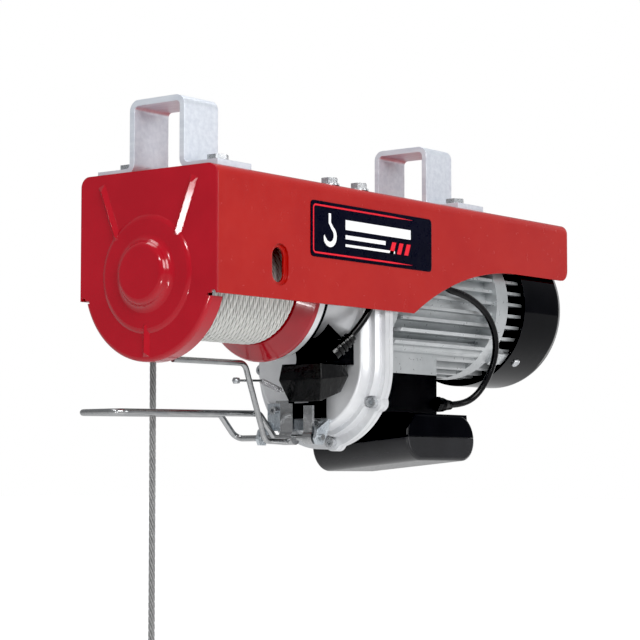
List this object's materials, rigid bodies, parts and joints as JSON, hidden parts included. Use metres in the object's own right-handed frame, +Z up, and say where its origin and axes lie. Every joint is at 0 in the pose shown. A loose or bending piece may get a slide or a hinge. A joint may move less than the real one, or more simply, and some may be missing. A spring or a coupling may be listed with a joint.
{
  "type": "electric wire rope hoist",
  "caption": "Electric wire rope hoist that hangs from a square beam in two clamp straps, with rope drum, gearbox, finned motor, limit levers and swivel hook.",
  "frame": {"origin": "centre of the front strap's seat, the face that rests on top of the beam", "axes": "+X from the rope drum to the motor, along the beam; +Z up; -Y is the side with the name plate"},
  "size_m": [0.542, 0.1517, 0.6427],
  "materials": {
    "red_side": "gloss enamel",
    "red_cover": "gloss enamel",
    "red_flange": "gloss enamel",
    "label": "printed foil",
    "bronze": "sintered",
    "zinc_strap": "zinc plated",
    "zinc_bolt": "zinc plated",
    "zinc_sheet": "zinc plated",
    "zinc_wire": "bright zinc",
    "cast_alloy": "die cast",
    "motor_alloy": "die cast",
    "can_aluminium": "drawn",
    "gasket": "sheet",
    "black_steel": "black",
    "black_plastic": "moulded",
    "black_gloss": "moulded",
    "dark_grey_plastic": "moulded",
    "boot_rubber": "moulded",
    "lead_sheath": "smooth",
    "bearing_steel": "ground",
    "gear_steel": "hobbed, oiled",
    "drum_steel": "turned",
    "wire_rope": "galvanised strand",
    "weight_iron": "black",
    "hook_body": "gloss enamel",
    "hook_steel": "forged, zinc plated",
    "lamination": "stacked sheet",
    "copper": "enamelled wire",
    "brake_lining": "friction lining",
    "spring_steel": "drawn"
  },
  "bodies": {
    "frame": {"housing_shell": "red_side", "drum_end_cover": "red_cover", "name_plate": "label", "drum_end_bushing": "bronze", "clamp_strap_front": "zinc_strap", "clamp_strap_rear": "zinc_strap", "clamp_bolts": "zinc_bolt", "clamp_nuts": "zinc_bolt", "gearbox_front_case": "cast_alloy", "gearbox_rear_case": "cast_alloy", "gearbox_gasket": "gasket", "gearbox_screws": "zinc_bolt", "gearbox_bracket": "black_steel", "bracket_bolts": "zinc_bolt", "dust_guard": "black_plastic", "drum_bearings": "bearing_steel", "layshaft_bearings": "bearing_steel", "cluster_axle": "gear_steel", "motor_housing": "motor_alloy", "stator_core": "lamination", "stator_windings": "copper", "motor_bearings": "bearing_steel", "motor_end_bell": "motor_alloy", "end_bell_bolts": "zinc_bolt", "fan_cover": "black_gloss", "fan_cover_screws": "zinc_bolt", "terminal_box": "black_plastic", "capacitor_box_upper": "black_gloss", "capacitor_box_lower": "dark_grey_plastic", "capacitor_cell": "can_aluminium", "cable_glands": "black_plastic", "switch_lead": "lead_sheath", "switch_box": "black_plastic", "switch_boot": "boot_rubber", "switch_gland": "boot_rubber", "lever_bracket": "zinc_sheet", "lever_bracket_screws": "zinc_bolt"},
    "drum": {"drum_barrel": "drum_steel", "drum_flange_rear": "red_flange", "drum_hub": "cast_alloy", "drum_shaft": "gear_steel", "drum_gear": "gear_steel", "rope_winding": "wire_rope"},
    "layshaft": {"layshaft": "gear_steel", "layshaft_gear": "gear_steel"},
    "cluster": {"cluster_gear": "gear_steel"},
    "rotor": {"rotor_core": "lamination", "motor_shaft": "gear_steel", "cooling_fan": "black_plastic", "brake_disc": "brake_lining"},
    "stop_lever": {"stop_lever": "zinc_wire"},
    "bail_lever": {"bail_lever": "zinc_wire", "lever_spring": "spring_steel"},
    "upper_plunger": {"upper_limit_plunger": "black_plastic"},
    "lower_plunger": {"lower_limit_plunger": "black_plastic"},
    "load": {"rope_hanging": "wire_rope", "limit_weight": "weight_iron", "hook_block": "hook_body"},
    "hook": {"hook": "hook_steel"},
    "latch": {"hook_latch": "zinc_sheet"}
  },
  "joints": [
    {"name": "motor_spin", "type": "hinge", "parent": "frame", "child": "rotor", "pos_m": [0.3, 0, -0.1415], "axis": [-1, 0, 0], "range_deg": [0, 30728.13]},
    {"name": "cluster_spin", "type": "hinge", "parent": "frame", "child": "cluster", "pos_m": [0.21, 0.03049, -0.14837], "axis": [1, 0, 0], "range_deg": [0, 7683.03]},
    {"name": "layshaft_spin", "type": "hinge", "parent": "frame", "child": "layshaft", "pos_m": [0.2, 0, -0.2035], "axis": [-1, 0, 0], "range_deg": [0, 1281.34]},
    {"name": "drum_spin", "type": "hinge", "parent": "frame", "child": "drum", "pos_m": [0.05, 0, -0.1415], "axis": [1, 0, 0], "range_deg": [0, 307.78]},
    {"name": "hook_lift", "type": "slide", "parent": "frame", "child": "load", "axis": [0, 0, 1], "range_m": [0, 0.2586], "deforming": ["rope_hanging"]},
    {"name": "hook_swivel", "type": "hinge", "parent": "load", "child": "hook", "pos_m": [0.029, 0.0482, -0.568], "axis": [0, 0, 1], "continuous": true},
    {"name": "hook_latch_swing", "type": "hinge", "parent": "hook", "child": "latch", "pos_m": [0.03, 0.0482, -0.583], "axis": [0, -1, 0], "range_deg": [0, 40], "stiffness_Nm_per_rad": 0.02, "springref_deg": -28.65},
    {"name": "stop_lever_swing", "type": "hinge", "parent": "frame", "child": "stop_lever", "pos_m": [0.168, 0, -0.271], "axis": [0, 1, 0], "range_deg": [0, 8]},
    {"name": "bail_lever_swing", "type": "hinge", "parent": "frame", "child": "bail_lever", "pos_m": [0.168, 0.013, -0.271], "axis": [0, 1, 0], "range_deg": [0, 4]},
    {"name": "upper_plunger_slide", "type": "slide", "parent": "frame", "child": "upper_plunger", "axis": [1, 0, 0], "range_m": [0, 0.00345]},
    {"name": "lower_plunger_slide", "type": "slide", "parent": "frame", "child": "lower_plunger", "axis": [1, 0, 0], "range_m": [0, 0.00175]}
  ],
  "couplings": [
    {"joint": "cluster_spin", "follows": "motor_spin", "ratio": 0.25},
    {"joint": "layshaft_spin", "follows": "motor_spin", "ratio": 0.041667},
    {"joint": "drum_spin", "follows": "motor_spin", "ratio": 0.01},
    {"joint": "hook_lift", "follows": "motor_spin", "m_per_rad": 0.000482},
    {"joint": "upper_plunger_slide", "follows": "stop_lever_swing", "m_per_rad": 0.0245},
    {"joint": "lower_plunger_slide", "follows": "bail_lever_swing", "m_per_rad": 0.0245}
  ]
}
